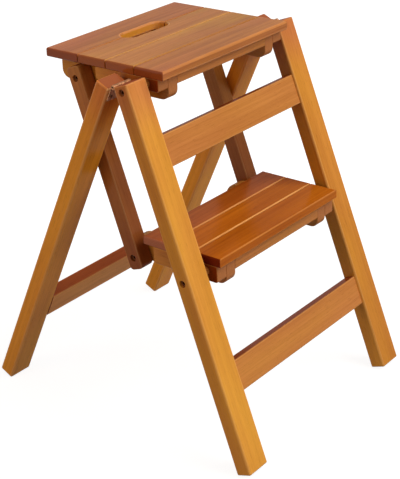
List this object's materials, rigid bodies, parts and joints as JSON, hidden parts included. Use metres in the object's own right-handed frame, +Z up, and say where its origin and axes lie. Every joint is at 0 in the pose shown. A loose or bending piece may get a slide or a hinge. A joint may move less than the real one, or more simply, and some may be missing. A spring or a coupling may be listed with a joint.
{
  "type": "folding step stool chair",
  "caption": "Folding wooden step stool chair: slatted seat with a hand-hole and a slatted step between leaning legs, tied by side links so that both tilt up as the rear frame closes.",
  "frame": {"origin": "on the floor under the middle of the open stool", "axes": "+X across the stool, -Y towards the side that is climbed, +Z up"},
  "size_m": [0.428, 0.541, 0.6],
  "materials": {
    "leg_wood": "clear gloss varnish on honey wood",
    "rail_wood": "clear gloss varnish on honey wood",
    "slat_wood": "satin varnish on red-brown wood",
    "batten_wood": "satin varnish on brown wood",
    "link_wood": "satin varnish on brown wood",
    "dark_steel": "blackened steel",
    "hinge_brass": "dull brass-plated steel"
  },
  "bodies": {
    "front_frame": {"front_leg_left": "leg_wood", "front_leg_right": "leg_wood", "front_rail_lower": "rail_wood", "front_rail_upper": "rail_wood", "seat_pivot_bolt_left": "dark_steel", "seat_pivot_bolt_right": "dark_steel", "seat_pivot_nut_left": "dark_steel", "seat_pivot_nut_right": "dark_steel", "step_pivot_bolt_left": "dark_steel", "step_pivot_bolt_right": "dark_steel", "step_pivot_nut_left": "dark_steel", "step_pivot_nut_right": "dark_steel", "seat_pivot_bush_left": "batten_wood", "seat_pivot_bush_right": "batten_wood", "step_pivot_bush_left": "batten_wood", "step_pivot_bush_right": "batten_wood", "hinge_leaf_front_left": "hinge_brass", "hinge_leaf_front_right": "hinge_brass"},
    "rear_frame": {"rear_leg_left": "leg_wood", "rear_leg_right": "leg_wood", "rear_rail": "rail_wood", "seat_stop_rod": "batten_wood", "hinge_leaf_rear_left": "hinge_brass", "hinge_leaf_rear_right": "hinge_brass"},
    "seat": {"seat_slat_1": "slat_wood", "seat_slat_2": "slat_wood", "seat_slat_3": "slat_wood", "seat_slat_4": "slat_wood", "seat_batten_left": "batten_wood", "seat_batten_right": "batten_wood", "seat_block_left": "batten_wood", "seat_block_right": "batten_wood", "seat_link_bolt_left": "dark_steel", "seat_link_bolt_right": "dark_steel", "seat_link_nut_left": "dark_steel", "seat_link_nut_right": "dark_steel", "seat_link_washer_left": "dark_steel", "seat_link_washer_right": "dark_steel", "seat_front_rail": "batten_wood", "seat_rear_rail": "batten_wood"},
    "step": {"step_slat_1": "slat_wood", "step_slat_2": "slat_wood", "step_slat_3": "slat_wood", "step_batten_left": "batten_wood", "step_batten_right": "batten_wood", "step_block_left": "batten_wood", "step_block_right": "batten_wood", "step_link_bolt_left": "dark_steel", "step_link_bolt_right": "dark_steel", "step_link_nut_left": "dark_steel", "step_link_nut_right": "dark_steel", "step_link_washer_left": "dark_steel", "step_link_washer_right": "dark_steel", "step_front_rail": "batten_wood"},
    "links": {"link_left": "link_wood", "link_right": "link_wood"}
  },
  "joints": [
    {"name": "seat_fold", "type": "hinge", "parent": "front_frame", "child": "seat", "pos_m": [0, -0.05401, 0.5768], "axis": [1, 0, 0], "range_deg": [0, 50]},
    {"name": "step_fold", "type": "hinge", "parent": "front_frame", "child": "step", "pos_m": [0, -0.15464, 0.2942], "axis": [1, 0, 0], "range_deg": [0, 50]},
    {"name": "link_turn", "type": "hinge", "parent": "seat", "child": "links", "pos_m": [0, 0.08903, 0.56025], "axis": [1, 0, 0], "range_deg": [-50, 0]},
    {"name": "rear_frame_fold", "type": "hinge", "parent": "front_frame", "child": "rear_frame", "pos_m": [0, -0.03405, 0.5807], "axis": [1, 0, 0], "range_deg": [-45, 0]}
  ],
  "couplings": [
    {"joint": "step_fold", "follows": "seat_fold", "ratio": 1},
    {"joint": "link_turn", "follows": "seat_fold", "ratio": -1},
    {"joint": "rear_frame_fold", "follows": "seat_fold", "ratio": -0.9}
  ]
}
